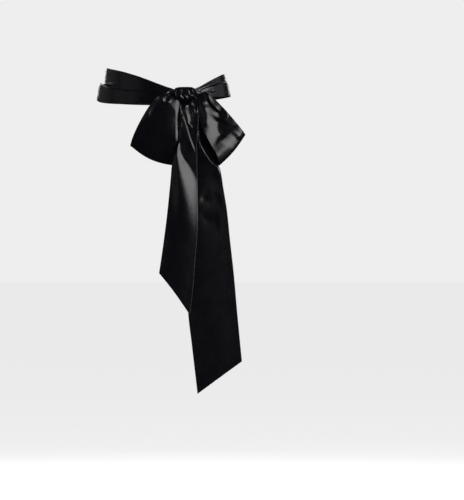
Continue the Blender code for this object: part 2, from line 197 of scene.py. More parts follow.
# The softboxes: the place of each, the point it is aimed at and its size, in metres, and its power in watts
Softbox = namedtuple("Softbox", "name place aim size power")
SOFTBOXES = [
    Softbox("key_softbox", (1.83, -1.45, 1.05), (0.06, -0.13, -0.12), (1.8, 2.2), 55.0),
    Softbox("side_softbox", (2.6, 0.2, 0.5), (0.1, 0.0, -0.1), (2.2, 1.6), 4.2),
    Softbox("left_softbox", (-2.45, 0.9, 0.5), (0.0, -0.1, -0.1), (2.4, 1.8), 2.0),
    Softbox("front_left_softbox", (-2.5, -1.55, 0.9), (0.0, -0.1, -0.1), (2.2, 2.0), 2.4),
    Softbox("high_left_softbox", (-1.95, 1.05, 1.45), (-0.1, 0.0, 0.0), (1.0, 1.0), 2.0),
    Softbox("low_back_softbox", (0.05, 0.7, -1.0), (0.05, -0.15, -0.4), (1.4, 0.6), 2.0),
    Softbox("back_right_softbox", (0.9, 2.5, 1.0), (0.0, 0.0, -0.2), (1.0, 1.6), 14.0),
    Softbox("back_left_softbox", (-0.9, 2.5, 1.0), (0.0, 0.0, -0.2), (1.0, 1.6), 14.0),
]

# One row for each place round the waist. turn is in degrees from the front towards the left side. top and
# bottom are the heights of the band's edges, and lip that of the long fold where the lower half laps over
# the upper half. tuck is how far the cloth goes down behind the lip, and stand how far the band stands off
# the waist near the knot. lap is how far the lower half bulges over the upper one, and lean how far the top
# edge leans out.
BandRow = namedtuple("BandRow", "turn top bottom lip tuck stand lap lean")
BAND_ROWS = [
    BandRow(-14.5, -21, -35, -28, 2.5, 1.5, 0, 0),
    BandRow(-11.8, -18.5, -36, -27.5, 3, 1.5, 0, 0),
    BandRow(-9, -13, -37, -26.5, 3.5, 1.5, 0, 0),
    BandRow(-3, -8, -39, -25, 5, 1, 0, 0),
    BandRow(5, -1, -41, -22, 6, 0.5, 0, 0),
    BandRow(18.6, 11, -43, -17, 8, 0, 0, 0),
    BandRow(41, 25.5, -43.5, -12.5, 9, 0, 0.8, 0),
    BandRow(65, 34, -39, -3, 9, 0, 3, 0),
    BandRow(90, 38.5, -31, 6, 9, 0, 4, 0),
    BandRow(112, 33, -32, 4, 8, 0, 3, 0),
    BandRow(135, 22, -35, -3, 7, 0, 1, 0),
    BandRow(157, 10, -36, -9, 7, 0, 0, 0),
    BandRow(172, 4, -36, -13, 7, 0, 0, 0),
    BandRow(186, -1, -36, -15, 7, 0, 0, 0),
    BandRow(203, -4, -34, -16, 7, 0, 0, 0),
    BandRow(214, -2, -31, -13, 6, 0, 0, 0),
    BandRow(228, 7, -27, -8, 6, 0, 0, 0),
    BandRow(248, 19, -24, 0, 6, 0, 0, 0),
    BandRow(270, 25.5, -23.5, 7, 6, 0, 0, 0),
    BandRow(298.5, 17.5, -26.5, 3, 6, 0, 0, 1),
    BandRow(319, 1.8, -29, -7.5, 5, 0, 0, 3),
    BandRow(324.6, -4.2, -31, -13, 4.5, 0.5, 0, 3),
    BandRow(328.3, -7.8, -33, -17, 4, 1.5, 0, 2.5),
    BandRow(332.4, -11.5, -35, -20, 3, 1.5, 0, 2),
]

# The band's cross-section from its top edge to its bottom edge. out is the distance from the waist. Heights
# are shares: of the upper panel down to the lip, of the tuck behind it, or of the lower panel, which starts
# where the cloth has rolled over the lip and come down again by LIP_ROLL of the tuck. lap and lean are how
# much of the row's lap and lean a place takes on.
LIP_ROLL = 0.2
SectionRow = namedtuple("SectionRow", "panel share out lap lean")
BAND_SECTION = [
    SectionRow("upper", 0.0, 0.0, 0.0, 1.0),
    SectionRow("upper", 0.12, 0.5, -0.1, 0.85),
    SectionRow("upper", 0.35, 0.8, -0.3, 0.55),
    SectionRow("upper", 0.62, 0.8, -0.5, 0.2),
    SectionRow("upper", 0.85, 1.0, -0.6, 0.0),
    SectionRow("tuck", 0.15, 0.5, -0.5, 0.0),
    SectionRow("tuck", 0.8, 0.0, -0.2, 0.0),
    SectionRow("tuck", 1.0, 0.8, 0.1, 0.0),
    SectionRow("tuck", 0.8, 1.8, 0.4, 0.0),
    SectionRow("tuck", 0.2, 2.0, 0.6, 0.0),
    SectionRow("tuck", 0.0, 3.0, 0.8, 0.0),
    SectionRow("tuck", 0.2, 4.0, 1.0, 0.0),
    SectionRow("lower", 0.25, 4.1, 1.0, 0.0),
    SectionRow("lower", 0.5, 3.9, 0.9, 0.0),
    SectionRow("lower", 0.78, 3.7, 0.9, 0.0),
    SectionRow("lower", 1.0, 3.0, 0.8, 0.0),
]

# One row for each station of a loop. share runs from the knot, 0, to the fold at the loop's outer end, 1.
# Each row has the middle of the loop at its outer edge and at its inner edge, beside the tails, then half
# the gap between the two layers at the outer and at the inner edge, the depth of the gathers, how far the
# back layer slips past the front, how far the front layer's inner edge curls back, and how far that layer
# sags back between its edges.
LoopRow = namedtuple(
    "LoopRow",
    "share outer_x outer_y outer_z inner_x inner_y inner_z gap_outer gap_inner gather slip curl sag",
)
LEFT_LOOP_ROWS = [
    LoopRow(0.00, LEFT_ROOT_X, -115.2, -15, LEFT_ROOT_X, -115.2, -36, 4.8, 4.8, 0.4, 0, 0, 0),
    LoopRow(0.08, 23, -116.2, -15, 33, -116.2, -40, 4.6, 4.6, 0.4, 0, 0, 0),
    LoopRow(0.20, 8, -118, -17.5, 34, -118, -54, 4.7, 4.7, 0.1, 0, 0.3, 0),
    LoopRow(0.35, -11, -120, -28, 34, -121, -76, 5.6, 5.6, 0, -1, 2.4, 0),
    LoopRow(0.50, -27, -119.5, -46, 34, -125, -99, 6.8, 6.8, 0, -2, 2.9, 0),
    LoopRow(0.65, -42.5, -119, -70, 33, -130, -123, 7.1, 7.1, 0, -2, 2.7, 0),
    LoopRow(0.80, -55.5, -119, -94, 29.5, -131.5, -146, 6.0, 6.0, 0, -2, 1.4, 0),
    LoopRow(0.92, -65, -120.5, -116, 26, -134.5, -163, 4.5, 4.5, 0, -1, 0, 0),
    LoopRow(1.00, -70, -121.5, -132, 23.5, -136, -175, 2.6, 2.6, 0, 0, 0, 0),
]
RIGHT_LOOP_ROWS = [
    LoopRow(0.00, RIGHT_ROOT_X, -114, -18, RIGHT_ROOT_X, -114, -37, 4.6, 4.6, 0.8, 0, 0, 0),
    LoopRow(0.08, 73, -114.5, -22.5, 71, -115, -44, 5.0, 5.2, 0.6, 0, 0.5, 0),
    LoopRow(0.20, 88, -115, -19.5, 73, -119, -60, 5.8, 7.2, 0.35, 2, 1, 1),
    LoopRow(0.35, 103, -115, -30, 77, -124, -80, 6.5, 10.5, 0.2, 9, 1.2, 3),
    LoopRow(0.50, 118, -118, -45, 83, -129, -99, 8.0, 13.0, 0.1, 18, 0.6, 5),
    LoopRow(0.65, 134, -119.5, -62, 92.5, -135, -119, 8.5, 13.0, 0, 25, 0, 7),
    LoopRow(0.80, 151, -120, -82, 104, -141, -140, 8.0, 11.0, 0, 27, 0, 5),
    LoopRow(0.92, 164, -119, -98, 113.5, -145, -158, 5.8, 8.6, 0, 20, 0, 2),
    LoopRow(1.00, 172, -118, -109, 117.5, -147.5, -175, 2.6, 2.6, 0, 0, 0, 0),
]

# One row for each height of a tail: its left and right edges in x and y, how far the soft lengthwise crest
# stands forward, and the shares of the width where it does and where its right flank has come down again.
TailRow = namedtuple("TailRow", "z left_x left_y right_x right_y crest crest_at flank_end")
FRONT_TAIL_ROWS = [
    TailRow(TAIL_ROOT_Z, 34, -115.5, 69, -116.5, 0, 0.08, 0.30),
    TailRow(-46, 33.5, -120.5, 72.5, -117, 0.3, 0.06, 0.27),
    TailRow(-52, 33.4, -123.7, 73.7, -119.5, 0.4, 0.06, 0.26),
    TailRow(-58, 33.4, -126.5, 74, -123, 0.5, 0.05, 0.25),
    TailRow(-70, 33.4, -129.8, 73.8, -130, 0.7, 0.05, 0.2),
    TailRow(-89, 33.4, -134, 73, -135.3, 0, 0.04, 0.14),
    TailRow(-121, 32, -141, 71, -142.5, 0.4, 0.03, 0.14),
    TailRow(-134, 29, -144, 70.5, -143.5, 2.2, 0.04, 0.16),
    TailRow(-147, 25.5, -147, 71, -146, 3.5, 0.07, 0.28),
    TailRow(-160, 22, -150, 71, -148, 5.5, 0.14, 0.46),
    TailRow(-174, 18.5, -153, 71, -151, 8, 0.22, 0.70),
    TailRow(-202, 16, -159, 71.5, -157, 11, 0.32, 1.02),
    TailRow(-240, 12.5, -168, 72.5, -167.5, 9, 0.45, 1.12),
    TailRow(-285, 8, -178, 73, -177.5, 6, 0.56, 1.2),
    TailRow(-330, 2.5, -189, 71, -190, 2.5, 0.62, 1.2),
    TailRow(-375, -3.5, -201, 67.5, -202, 2, 0.60, 1.2),
    TailRow(-425, -11, -214, 64, -215, 2, 0.60, 1.2),
    TailRow(-486, -21, -229, 57, -229, 2, 0.60, 1.2),
]
BACK_TAIL_ROWS = [
    TailRow(TAIL_ROOT_Z, 32, -105, 67.5, -105, 0, 0.4, 1),
    TailRow(-46, 30.5, -106.5, 69.2, -107.5, 0, 0.4, 1),
    TailRow(-52, 31, -109, 69.5, -111, 0, 0.4, 1),
    TailRow(-58, 33, -112, 70.5, -115, 0, 0.4, 1),
    TailRow(-66, 33.5, -114, 73, -118, 0, 0.4, 1),
    TailRow(-75, 33.5, -115.5, 74.5, -119.5, 0, 0.4, 1),
    TailRow(-95, 35, -118, 75.5, -123.5, 1, 0.5, 1),
    TailRow(-116, 42, -123, 78, -128.5, 1.5, 0.6, 1),
    TailRow(-131, 46, -128, 82, -133.5, 2, 0.6, 1),
    TailRow(-146, 50, -132.5, 87.5, -138.5, 2, 0.6, 1),
    TailRow(-157, 50.5, -135.5, 94, -142, 2, 0.6, 1),
    TailRow(-166, 51, -139, 100, -141.5, 2, 0.6, 1),
    TailRow(-171, 51, -140.5, 106, -142, 2, 0.6, 1),
    TailRow(-175, 51, -141.5, 115.5, -142.8, 2, 0.6, 1),
    TailRow(-179, 51, -142.5, 117.5, -144, 2, 0.6, 1),
    TailRow(-184, 51, -143.5, 119.5, -145.7, 2, 0.6, 1),
    TailRow(-190, 51, -145, 121, -147.5, 2, 0.5, 1),
    TailRow(-198, 51, -147, 122.5, -148.5, 2, 0.5, 1),
    TailRow(-214, 51.5, -151, 124.7, -151, 2, 0.5, 1),
    TailRow(-265, 52, -165, 133, -164.5, 1.5, 0.4, 1),
    TailRow(-331, 52.5, -183, 140, -183, 1, 0.4, 1),
    TailRow(-398, 53, -202, 147.5, -203, 1, 0.4, 1),
    TailRow(-482, 53.5, -226, 155, -227, 1, 0.4, 1),
    TailRow(-545, 61, -243, 161, -244, 1, 0.4, 1),
    TailRow(-648, 73.5, -269, 171, -269, 1, 0.4, 1),
]

# The slanting cuts across the tails' ends: the height of each corner, and how far the cut bows upwards
EndCut = namedtuple("EndCut", "left_z right_z bow")
FRONT_TAIL_CUT = EndCut(-400, -486, 3.5)
BACK_TAIL_CUT = EndCut(-647, -581, 0)

# A fold is a ridge, or a valley where its rise is below 0: the points of its line, how far it stands out,
# and the widths of its two flanks, which are left and right of a line that runs down, seen from the front,
# and below and above one that runs to the right.
Fold = namedtuple("Fold", "line rise left right")
LEFT_LOOP_FOLDS = [
    Fold([(17, -20), (12, -27), (6, -34), (6, -42)], -1.2, 5, 5),
    Fold([(14, -17), (9, -21.5), (3, -26.5), (-0.5, -32), (-1, -38), (2.5, -42.5), (7.5, -43), (13, -39.5),
          (17, -35)], 2.2, 2.2, 2.2),
    Fold([(-28, -46), (-15, -34), (-5, -26.5), (1, -23), (6, -22), (12, -18)], 1.4, 2, 2),
    Fold([(4, -42), (12, -45), (19, -51), (24, -58), (26.5, -68), (27, -80)], 0.9, 8, 8),
    Fold([(-8, -27), (-19.5, -36), (-26, -46), (-30.5, -56), (-34.5, -71), (-40, -94)], 4.6, 7, 6),
]
RIGHT_LOOP_FOLDS = [
    Fold([(89, -31), (93.5, -42), (99.5, -50), (107, -57.5), (117, -66), (127, -72.5)], -3.0, 6, 2),
    Fold([(89, -12), (93, -24), (96, -35), (102, -46), (111, -55.5), (119, -63)], 3.6, 2, 9),
    Fold([(121, -71.5), (126, -74.5), (130.5, -74.5), (133, -68), (130, -59), (127, -52)], 1.8, 4, 2),
    Fold([(119, -75), (115, -85), (114, -98), (119, -110), (127, -121)], -4.3, 13, 20),
    Fold([(112, -121), (118, -125.5), (125, -130), (133, -135), (141, -137), (148, -132)], 1.2, 18, 8),
    Fold([(156, -82), (162, -92), (165, -103), (161, -113), (153, -122)], 3.0, 14, 6),
    Fold([(84, -44), (87.5, -56), (89.5, -70), (90, -84), (91, -97)], 2.5, 5, 9),
    Fold([(68, -20), (80, -21), (93, -21), (104, -30), (116, -42)], 1.0, 2.5, 2),
]
RIGHT_LOOP_BACK_FOLDS = [
    Fold([(84, -122), (91, -136), (95, -148), (101, -157), (108, -166), (114, -172)], 3.0, 3, 2),
]
FRONT_TAIL_FOLDS = [
    Fold([(31, -22), (32.5, -33), (33.5, -47), (36, -59), (40, -71), (45, -85), (49.5, -100), (56, -121),
          (63, -139), (69, -158)], 2.4, 5, 1.5),
    Fold([(31, -42), (31, -58), (31.2, -75), (31, -95), (30, -112), (28.5, -126), (27, -138)], -3.8, 4, 5.5),
    Fold([(41, -66), (39, -78), (37, -90), (35.5, -102)], 2.0, 2.5, 1.8),
    Fold([(42, -41), (45, -53), (47.5, -63), (50, -72), (51.5, -82), (52.5, -92)], 3.2, 3.5, 4.5),
    Fold([(47, -81), (51, -86), (56, -91), (62, -99)], 1.2, 1.8, 1.8),
    Fold([(44, -53), (48, -49), (53, -47), (57.5, -48.5), (62, -53), (65, -60), (67, -68)], 1.8, 1.8, 2.0),
    Fold([(66, -20), (70, -34), (72, -46), (71, -56), (69, -68)], 2.2, 2.2, 1.5),
]
BACK_TAIL_FOLDS = [
    Fold([(66, -85), (69, -100), (72.5, -118), (76.5, -130), (81, -140), (87, -151)], 3.5, 9, 8),
    Fold([(67, -95), (70, -108), (73, -120), (76.5, -130), (81.5, -140), (88, -152), (95, -163),
          (103.5, -172), (112, -178), (115.5, -186), (118.5, -200), (121, -222)], 3.6, 8, 5),
    Fold([(76, -240), (98, -250), (124, -244)], -2.5, 12, 12),
    Fold([(76, -272), (96, -292), (120, -292)], -2.0, 14, 14),
]
BAND_FOLDS = [
    Fold([(88, -11), (94, -14.5), (101, -16), (106, -13.5), (110, -13)], 1.0, 1.6, 1.6),
    Fold([(72, -17), (80, -13.5), (90, -9.5), (103, -5), (118, 0)], 3.0, 14, 2),
    Fold([(-137, 2), (-128, 1.5), (-116, 0.5), (-98, -3)], 2.0, 2, 2),
]
WRAP_FOLDS = [
    Fold([(33, -27), (36, -30), (41, -34), (48, -41)], 1.4, 1.6, 1.6),
    Fold([(39, -25), (44, -28), (49, -32), (54, -38)], 1.4, 1.6, 1.6),
    Fold([(52, -14), (53, -22), (55, -30), (54, -40)], 1.8, 1.4, 1.4),
    Fold([(55, -24), (58.5, -28), (62, -32), (65, -37)], 1.4, 1.6, 1.6),
    Fold([(60, -27), (64, -30), (68, -32), (72, -35)], 1.2, 1.6, 1.6),
]


def curve_at(at, value, x):
    """The value at x of a smooth curve: cubic Hermite pieces through (at, value), whose slopes are the
    differences between neighbouring values."""
    at = np.asarray(at, float)
    value = np.asarray(value, float)
    slope = np.gradient(value, at)
    x = np.clip(x, at[0], at[-1])
    i = np.clip(np.searchsorted(at, x) - 1, 0, len(at) - 2)
    step = at[i + 1] - at[i]
    t = (x - at[i]) / step
    start = (2 * t**3 - 3 * t**2 + 1) * value[i] + (t**3 - 2 * t**2 + t) * step * slope[i]
    end = (3 * t**2 - 2 * t**3) * value[i + 1] + (t**3 - t**2) * step * slope[i + 1]
    return start + end


def smooth(rows, key, name, x):
    """The value at x of a smooth curve through one column of a table, whose key column runs one way."""
    ordered = sorted(rows, key=lambda row: getattr(row, key))
    return curve_at([getattr(row, key) for row in ordered], [getattr(row, name) for row in ordered], x)


def soft_step(t):
    """Runs from 0 at t = 0 to 1 at t = 1 with level ends: 3 t squared less 2 t cubed."""
    t = np.clip(t, 0, 1)
    return t * t * (3 - 2 * t)


def fold_rise(x, z, folds):
    """How far folds lift the points (x, z): each one's rise, times a fade at its two ends, times exp of minus
    a power of the distance from its line over the width of that flank."""
    total = np.zeros(np.shape(x))
    for fold in folds:
        corners = np.array(fold.line, float)
        at = np.arange(len(corners))
        fine = np.linspace(0, len(corners) - 1, FOLD_STEPS * len(corners))
        line = np.stack([curve_at(at, corners[:, 0], fine), curve_at(at, corners[:, 1], fine)], axis=1)
        run = line[1:] - line[:-1]
        off_x = x[..., None] - line[:-1, 0]
        off_z = z[..., None] - line[:-1, 1]
        share = np.clip((off_x * run[:, 0] + off_z * run[:, 1]) / (run**2).sum(axis=1), 0, 1)
        gap = np.hypot(off_x - share * run[:, 0], off_z - share * run[:, 1])
        nearest = gap.argmin(axis=-1)[..., None]
        gap = np.take_along_axis(gap, nearest, axis=-1)[..., 0]
        along = (nearest[..., 0] + np.take_along_axis(share, nearest, axis=-1)[..., 0]) / len(run)
        turn = run[:, 0] * off_z - run[:, 1] * off_x
        right_side = np.take_along_axis(turn, nearest, axis=-1)[..., 0] > 0
        width = np.where(right_side, fold.right, fold.left)
        fade = soft_step(along / FOLD_FADE) * soft_step((1 - along) / FOLD_FADE)
        total += fold.rise * fade * np.exp(-((gap / width) ** FOLD_POWER))
    return total


def shares(count, size):
    """Shares from 0 to 1 across a sheet of that size: even in the middle and close together at the rims."""
    rim = RIM_LINES * EDGE_ROUND / size
    return np.concatenate([rim, np.linspace(rim[-1], 1 - rim[-1], count)[1:-1], 1 - rim[::-1]])


def band_points(stations, columns):
    """The waist band: its section carried round the oval of the waist, from the knot round to the knot."""
    ends = BAND_ROWS[0].turn, BAND_ROWS[-1].turn
    turn = ends[0] + (ends[1] - ends[0]) * shares(stations, BAND_LENGTH)
    value = {name: smooth(BAND_ROWS, "turn", name, turn) for name in BandRow._fields[1:]}
    top, bottom, lip, tuck = (value[name] for name in ("top", "bottom", "lip", "tuck"))
    angle = np.radians(turn)
    oval = np.stack([-WAIST_HALF_WIDTH * np.sin(angle), -WAIST_HALF_DEPTH * np.cos(angle)], axis=1)
    outward = oval / np.array([WAIST_HALF_WIDTH, WAIST_HALF_DEPTH]) ** 2
    outward /= np.linalg.norm(outward, axis=1, keepdims=True)
    panels = {
        "upper": (top, lip),
        "tuck": (lip, lip - tuck),
        "lower": (lip - LIP_ROLL * tuck, bottom),
    }
    heights, standoffs = [], []
    for row in BAND_SECTION:
        start, end = panels[row.panel]
        heights.append(start + (end - start) * row.share)
        standoffs.append(row.out + value["stand"] + row.lap * value["lap"] + row.lean * value["lean"])
    across = shares(columns, BAND_ACROSS) * (len(BAND_SECTION) - 1)
    z = column_curve(np.array(heights), across)
    distance = column_curve(np.array(standoffs), across) - WAIST_FLARE * z
    points = np.zeros((len(turn), len(across), 3))
    points[..., :2] = oval[:, None] + outward[:, None] * distance.T[..., None]
    points[..., 2] = z.T
    rise = fold_rise(points[..., 0], points[..., 2], BAND_FOLDS) * (points[..., 1] < 0)
    points[..., :2] += outward[:, None] * rise[..., None]
    points[0, :, 0] = LEFT_ROOT_X
    points[-1, :, 0] = RIGHT_ROOT_X
    return points


def column_curve(values, x):
    """Each column of values, given at 0, 1, 2 and so on, as a smooth curve worked out at the places x."""
    slope = np.gradient(values, axis=0)
    i = np.clip(x.astype(int), 0, len(values) - 2)
    t = (x - i)[:, None]
    start = (2 * t**3 - 3 * t**2 + 1) * values[i] + (t**3 - 2 * t**2 + t) * slope[i]
    end = (3 * t**2 - 2 * t**3) * values[i + 1] + (t**3 - t**2) * slope[i + 1]
    return start + end


def loop_stations(stations):
    """Shares of a loop's length from the knot to its fold and back, and the side: -1 in front, 1 behind."""
    turn = np.linspace(0, math.pi / 2, LOOP_FOLD_LINES)[1:]
    rim = RIM_LINES * EDGE_ROUND / LOOP_LENGTH
    out = np.concatenate([rim[:-1], np.linspace(rim[-1], LOOP_FOLD_FROM, stations)])
    apart = np.concatenate([np.ones(len(out)), np.cos(turn)])
    out = np.concatenate([out, LOOP_FOLD_FROM + (1 - LOOP_FOLD_FROM) * np.sin(turn)])
    return np.concatenate([out, out[-2::-1]]), np.concatenate([-apart, apart[-2::-1]])


def loop_points(rows, front_folds, back_folds, fold_bow, stations, columns):
    """A loop of the bow: its front layer from the knot to the outer fold, and its back layer back again."""
    share, side = loop_stations(stations)
    value = {name: smooth(rows, "share", name, share) for name in LoopRow._fields[1:]}
    outer = np.stack([value["outer_x"], value["outer_y"], value["outer_z"]], axis=1)
    inner = np.stack([value["inner_x"], value["inner_y"], value["inner_z"]], axis=1)
    run = (inner - outer) / np.linalg.norm(inner - outer, axis=1, keepdims=True)
    slip = np.where(side > 0, value["slip"], 0)[:, None] * run
    across = shares(columns, LOOP_ACROSS)
    points = outer[:, None] + (inner - outer + slip)[:, None] * across[:, None]

    # The fold, at the middle line of the grid, bows outward between its corners.
    fold = len(share) // 2
    away = np.array([run[fold, 2], 0, -run[fold, 0]])
    away *= np.sign(away @ (outer[fold] - outer[0]))
    bow = fold_bow * share[:, None] ** FOLD_BOW_POWER * np.sin(math.pi * across)
    points += bow[..., None] * away

    # The layers lie half a gap to the front and to the back, and the front one also curls, sags and folds.
    gap = value["gap_outer"][:, None] * (1 - across) + value["gap_inner"][:, None] * across
    gap = gap * (1 + 4 * LOOP_CROWN * across * (1 - across))
    gathers = value["gather"][:, None] * np.sin(2 * math.pi * LOOP_GATHER_WAVES * across + LOOP_GATHER_START)
    front = np.clip(-side, 0, 1)[:, None]
    inward = np.abs(value["inner_x"] - value["outer_x"])[:, None] * (1 - across)
    curl = value["curl"][:, None] * np.clip(1 - inward / CURL_WIDTH, 0, 1) ** CURL_POWER
    sag = value["sag"][:, None] * 4 * across * (1 - across)
    behind = np.clip(side, 0, 1)[:, None]
    rise = front * fold_rise(points[..., 0], points[..., 2], front_folds)
    rise += behind * fold_rise(points[..., 0], points[..., 2], back_folds)
    points[..., 1] += side[:, None] * gap + gathers + front * (curl + sag) - rise
    points[[0, -1], :, 0] = rows[0].outer_x
    return points


def tail_points(rows, cut, folds, stations, columns):
    """A tail: straight across but for a soft crest, gathered at the knot and cut on a slant."""
    across = shares(columns, TAIL_ACROSS)[None, :]
    down = shares(stations, TAIL_LENGTH)[:, None]
    end_z = cut.left_z + (cut.right_z - cut.left_z) * across + cut.bow * np.sin(math.pi * across)
    z = TAIL_ROOT_Z + (end_z - TAIL_ROOT_Z) * down
    value = {name: smooth(rows, "z", name, z) for name in TailRow._fields[1:]}
    x = value["left_x"] + (value["right_x"] - value["left_x"]) * across
    y = value["left_y"] + (value["right_y"] - value["left_y"]) * across
    crest_at, flank_end = value["crest_at"], value["flank_end"]
    nearness = np.clip(np.minimum(across / crest_at, (flank_end - across) / (flank_end - crest_at)), 0, 1)
    y -= value["crest"] * (0.5 - 0.5 * np.cos(math.pi * nearness))
    gather = TAIL_GATHER_DEPTH * np.exp((z - TAIL_ROOT_Z) / TAIL_GATHER_FADE)
    y += gather * np.sin(2 * math.pi * TAIL_GATHER_WAVES * across)
    y -= fold_rise(x, z, folds)
    return np.stack([x, y, z], axis=-1)


def knot_section(angle, half_depth, half_height, squareness):
    """A point of the knot's rounded outline: angle 0 is its front and 90 degrees its top."""
    c, s = np.cos(angle), np.sin(angle)
    size = (np.abs(c) ** squareness + np.abs(s) ** squareness) ** (-1 / squareness)
    return KNOT_Y - half_depth * c * size, KNOT_Z + half_height * s * size


def wrap_points(stations, columns):
    """The wrap: up the front of the knot and over the top, pinched to a point below in front."""
    across = 2 * shares(columns, WRAP_LENGTH)[None, :] - 1
    share = shares(stations, WRAP_AROUND)[:, None]
    away = np.abs(across - WRAP_PINCH_AT)
    pinch = np.clip(1 - WRAP_PINCH_NARROWNESS * away**WRAP_PINCH_POWER, 0, 1)
    start = WRAP_FRONT_START + (WRAP_PINCH_START - WRAP_FRONT_START) * pinch
    angle = np.radians(start + (WRAP_BACK_END - start) * share)
    front = np.clip(np.cos(angle), 0, 1)
    ridges = WRAP_RIDGE_DEPTH * np.cos(2 * math.pi * WRAP_RIDGE_WAVES * across)
    half_depth = WRAP_HALF_DEPTH + (ridges + WRAP_END_FLARE * across**2) * front
    half_height = WRAP_HALF_HEIGHT - WRAP_END_DROP * across**WRAP_DROP_POWER
    y, z = knot_section(angle, half_depth, half_height, WRAP_SQUARENESS)
    left, right = (smooth(WRAP_REACH, "angle", name, np.degrees(angle)) for name in ("left", "right"))
    x = KNOT_X + across * np.where(across < 0, left, right)
    rise = fold_rise(x, z, WRAP_FOLDS) * front
    y, z = knot_section(angle, half_depth + rise, half_height, WRAP_SQUARENESS)
    return np.stack([x, y, z], axis=-1)


def core_points(stations, columns):
    """The layers inside the knot: a rounded outline carried along x, with soft grooves between the layers
    and ends that close to a point, all as one grid that wraps round."""
    angle = np.linspace(0, 2 * math.pi, columns, endpoint=False)[None, :]
    share = np.linspace(-1, 1, stations)[:, None]
    size = np.sqrt(np.clip(1 - np.abs(share) ** CORE_END_POWER, 0, 1))
    grooves = 1 - CORE_GROOVE_DEPTH * (1 + np.cos(CORE_GROOVES * angle + CORE_GROOVE_TWIST * share))
    half_depth = (WRAP_HALF_DEPTH - CORE_INSET) * size * grooves
    half_height = (WRAP_HALF_HEIGHT - CORE_INSET) * size * grooves
    y, z = knot_section(angle, half_depth, half_height, CORE_SQUARENESS)
    x = np.broadcast_to(KNOT_X + CORE_HALF_LENGTH * share, y.shape)
    return np.stack([x, y, z], axis=-1)


def distances(points, axis):
    """Length along one way of the grid from its first line, by adding the steps between points."""
    steps = np.linalg.norm(np.diff(points, axis=axis), axis=-1)
    start = np.zeros_like(np.take(steps, [0], axis=axis))
    return np.concatenate([start, np.cumsum(steps, axis=axis)], axis=axis)


def mesh_object(name, points, faces, uv):
    """A smooth mesh from points in mm, lists of corner numbers and a flat pattern place in mm for each point."""
    mesh = bpy.data.meshes.new(name)
    mesh.from_pydata((points * MM).tolist(), [], faces)
    mesh.shade_smooth()
    corner = np.empty(len(mesh.loops), int)
    mesh.loops.foreach_get("vertex_index", corner)
    layer = mesh.uv_layers.new(name="flat")
    layer.data.foreach_set("uv", (uv[corner] * MM).ravel())
    piece = bpy.data.objects.new(name, mesh)
    bpy.context.scene.collection.objects.link(piece)
    return piece


def cloth_object(name, middle):
    """Doubled cloth over a grid of points: front and back are the middle moved half a wall along its normal.
    The move falls to nothing at the border as a half circle does, where front and back share their points."""
    rows, columns = middle.shape[:2]
    across = distances(middle, 1)
    down = distances(middle, 0)
    normal = np.cross(np.gradient(middle, axis=1), np.gradient(middle, axis=0))
    normal /= np.linalg.norm(normal, axis=-1, keepdims=True)
    side = np.minimum(across, across[:, -1:] - across)
    end = np.minimum(down, down[-1:] - down)
    rim = [np.sqrt(1 - (1 - np.clip(gap / EDGE_ROUND, 0, 1)) ** 2) for gap in (side, end)]
    seam = SEAM_THICKNESS * soft_step((SEAM_WIDTH + SEAM_FADE / 2 - across) / SEAM_FADE)
    half = (WALL + seam)[..., None] / 2 * (rim[0] * rim[1])[..., None] * normal

    number = np.arange(rows * columns).reshape(rows, columns)
    inside = np.zeros((rows, columns), bool)
    inside[1:-1, 1:-1] = True
    back_number = number.copy()
    back_number[inside] = rows * columns + np.arange(inside.sum())
    points = np.concatenate([(middle + half).reshape(-1, 3), (middle - half)[inside]])
    uv = np.stack([across, down[:, columns // 2][:, None] + 0 * across], axis=-1)
    uv = np.concatenate([uv.reshape(-1, 2), uv[inside]])
    front = [number[:-1, :-1], number[:-1, 1:], number[1:, 1:], number[1:, :-1]]
    back = [back_number[:-1, :-1], back_number[1:, :-1], back_number[1:, 1:], back_number[:-1, 1:]]
    faces = np.concatenate([np.stack(layer, axis=-1).reshape(-1, 4) for layer in (front, back)])
    return mesh_object(name, points, faces.tolist(), uv)


def core_object(name, points):
    """The closed block of hidden layers: its grid wraps round, and its two end lines close to points."""
    rows, columns = points.shape[:2]
    inner = points[1:-1].reshape(-1, 3)
    first, last = len(inner), len(inner) + 1
    points = np.concatenate([inner, [points[0].mean(axis=0), points[-1].mean(axis=0)]])
    number = np.arange((rows - 2) * columns).reshape(rows - 2, columns)
    following = np.roll(number, -1, axis=1)
    walls = np.stack([number[:-1], following[:-1], following[1:], number[1:]], axis=-1).reshape(-1, 4)
    start = np.stack([following[0], number[0], np.full(columns, first)], axis=-1)
    end = np.stack([number[-1], following[-1], np.full(columns, last)], axis=-1)
    return mesh_object(name, points, walls.tolist() + start.tolist() + end.tolist(), points[:, [0, 2]])


def add_node(tree, kind, **inputs):
    """A node of that kind, with plain values for its named inputs."""
    node = tree.nodes.new(kind)
    for name, value in inputs.items():
        node.inputs[name.replace("_", " ")].default_value = value
    return node


def math_node(tree, operation, first, second=None):
    """A Math node that works on links or plain numbers."""
    node = tree.nodes.new("ShaderNodeMath")
    node.operation = operation
    for socket, value in zip(node.inputs, (first, second)):
        if value is None:
            continue
        if isinstance(value, bpy.types.NodeSocket):
            tree.links.new(value, socket)
        else:
            socket.default_value = value
    return node.outputs[0]


